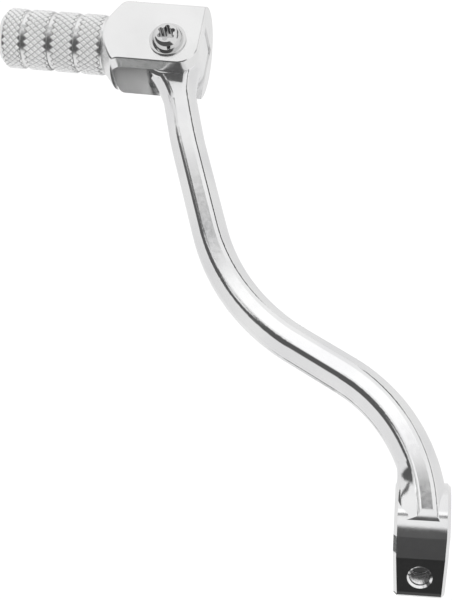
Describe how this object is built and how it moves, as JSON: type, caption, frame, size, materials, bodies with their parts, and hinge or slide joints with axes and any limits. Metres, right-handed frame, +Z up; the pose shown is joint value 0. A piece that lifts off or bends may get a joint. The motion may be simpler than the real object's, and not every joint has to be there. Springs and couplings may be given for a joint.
{
  "type": "motorcycle gear shift lever",
  "caption": "Forged S-bent gear shift lever with a splined-shaft pinch clamp and a knurled toe peg that folds back on a spring-returned hinge.",
  "frame": {"origin": "middle of the shaft clamp's bore, half way across the boss", "axes": "+X forward along the machine towards the toe peg, +Y along the shaft away from the engine, +Z up, the side of the pivot bolt's head"},
  "size_m": [0.1611, 0.1314, 0.0361],
  "materials": {
    "polished_aluminium": "polished forging",
    "machined_aluminium": "satin machined, knurled peg",
    "bolt_steel": "bright plated steel",
    "spring_steel": "drawn spring wire"
  },
  "bodies": {
    "lever": {"shaft_clamp": "polished_aluminium", "lever_arm": "polished_aluminium"},
    "tip": {"folding_tip": "machined_aluminium", "pivot_bolt": "bolt_steel", "return_spring": "spring_steel"}
  },
  "joints": [
    {"name": "tip_fold", "type": "hinge", "parent": "lever", "child": "tip", "pos_m": [0.1296, 0.0746, 0.0065], "axis": [0, 0, 1], "range_deg": [0, 60], "stiffness_Nm_per_rad": 0.25, "springref_deg": -45.84, "deforming": ["return_spring"]}
  ]
}
